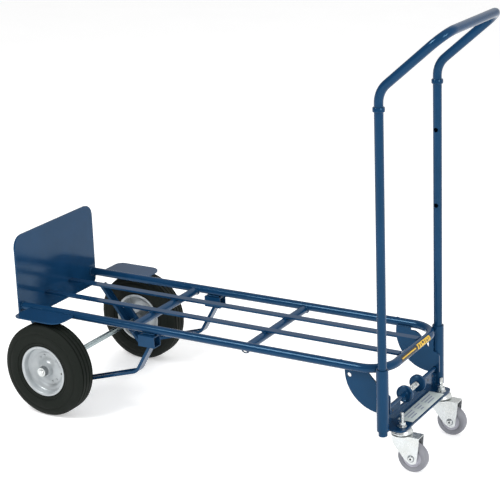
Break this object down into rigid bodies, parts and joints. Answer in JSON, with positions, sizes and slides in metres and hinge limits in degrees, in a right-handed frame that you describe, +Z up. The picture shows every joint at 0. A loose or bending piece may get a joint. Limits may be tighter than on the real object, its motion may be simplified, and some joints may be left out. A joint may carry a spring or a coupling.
{
  "type": "convertible hand truck",
  "caption": "Folding two-way hand truck: tube frame with toe plate, pneumatic-style wheels, swivel casters and a telescoping handle.",
  "frame": {"origin": "on the floor, at the middle of the footprint box, truck in platform position", "axes": "+X along the deck from the toe plate to the handle, +Y across the deck, +Z up"},
  "size_m": [1.2674, 0.53, 1.1029],
  "materials": {
    "blue_enamel": "gloss",
    "zinc_plate": "satin",
    "tyre_rubber": "matte",
    "rim_paint": "satin",
    "grey_rubber": "matte",
    "hub_plastic": "satin"
  },
  "bodies": {
    "frame": {"frame_loop": "blue_enamel", "cross_tube_1": "blue_enamel", "cross_tube_2": "blue_enamel", "deck_bar_near": "blue_enamel", "deck_bar_far": "blue_enamel", "toe_plate": "blue_enamel", "wheel_guard_near": "blue_enamel", "wheel_guard_far": "blue_enamel", "axle_strut_near": "blue_enamel", "axle_strut_far": "blue_enamel", "handle_guide_near": "blue_enamel", "handle_guide_far": "blue_enamel", "latch_plate_near": "blue_enamel", "latch_plate_far": "blue_enamel", "pivot_bolt_near": "zinc_plate", "pivot_bolt_far": "zinc_plate", "axle": "zinc_plate", "axle_spacer_near": "zinc_plate", "axle_spacer_far": "zinc_plate", "axle_cap_near": "zinc_plate", "axle_cap_far": "zinc_plate"},
    "big_wheel_near": {"tyre_near": "tyre_rubber", "wheel_rim_near": "rim_paint", "wheel_hub_near": "zinc_plate"},
    "big_wheel_far": {"tyre_far": "tyre_rubber", "wheel_rim_far": "rim_paint", "wheel_hub_far": "zinc_plate"},
    "handle_base": {"sleeve_near": "blue_enamel", "sleeve_far": "blue_enamel", "caster_bracket": "blue_enamel", "caster_stem_near": "zinc_plate", "caster_stem_far": "zinc_plate", "stem_nut_near": "zinc_plate", "stem_nut_far": "zinc_plate", "latch_spring": "zinc_plate"},
    "latch_near": {"latch_rod_near": "blue_enamel", "latch_grip_near": "blue_enamel"},
    "latch_far": {"latch_rod_far": "blue_enamel", "latch_grip_far": "blue_enamel"},
    "handle": {"handle_tube_near": "blue_enamel", "handle_tube_far": "blue_enamel", "handle_collar_near": "blue_enamel", "handle_collar_far": "blue_enamel", "handle_loop": "blue_enamel"},
    "caster_swivel_near": {"caster_fork_near": "zinc_plate", "caster_bolt_near": "zinc_plate", "caster_nut_near": "zinc_plate"},
    "caster_wheel_near": {"caster_tread_near": "grey_rubber", "caster_hub_near": "hub_plastic"},
    "caster_swivel_far": {"caster_fork_far": "zinc_plate", "caster_bolt_far": "zinc_plate", "caster_nut_far": "zinc_plate"},
    "caster_wheel_far": {"caster_tread_far": "grey_rubber", "caster_hub_far": "hub_plastic"}
  },
  "joints": [
    {"name": "handle_fold", "type": "hinge", "parent": "frame", "child": "handle_base", "pos_m": [0.44775, 0, 0.246], "axis": [0, 1, 0], "range_deg": [0, 90]},
    {"name": "handle_slide", "type": "slide", "parent": "handle_base", "child": "handle", "axis": [0, 0, 1], "range_m": [-0.627, 0]},
    {"name": "latch_near_slide", "type": "slide", "parent": "handle_base", "child": "latch_near", "axis": [0, -1, 0], "range_m": [0, 0.015]},
    {"name": "latch_far_slide", "type": "slide", "parent": "handle_base", "child": "latch_far", "axis": [0, 1, 0], "range_m": [0, 0.015]},
    {"name": "big_wheel_near_spin", "type": "hinge", "parent": "frame", "child": "big_wheel_near", "pos_m": [-0.50225, -0.224, 0.1285], "axis": [0, 1, 0], "continuous": true},
    {"name": "big_wheel_far_spin", "type": "hinge", "parent": "frame", "child": "big_wheel_far", "pos_m": [-0.50225, 0.224, 0.1285], "axis": [0, 1, 0], "continuous": true},
    {"name": "caster_near_swivel", "type": "hinge", "parent": "handle_base", "child": "caster_swivel_near", "pos_m": [0.48775, -0.118, 0.095], "axis": [0, 0, 1], "continuous": true},
    {"name": "caster_near_spin", "type": "hinge", "parent": "caster_swivel_near", "child": "caster_wheel_near", "pos_m": [0.51775, -0.118, 0.038], "axis": [0, 1, 0], "continuous": true},
    {"name": "caster_far_swivel", "type": "hinge", "parent": "handle_base", "child": "caster_swivel_far", "pos_m": [0.48775, 0.118, 0.095], "axis": [0, 0, 1], "continuous": true},
    {"name": "caster_far_spin", "type": "hinge", "parent": "caster_swivel_far", "child": "caster_wheel_far", "pos_m": [0.51775, 0.118, 0.038], "axis": [0, 1, 0], "continuous": true}
  ]
}
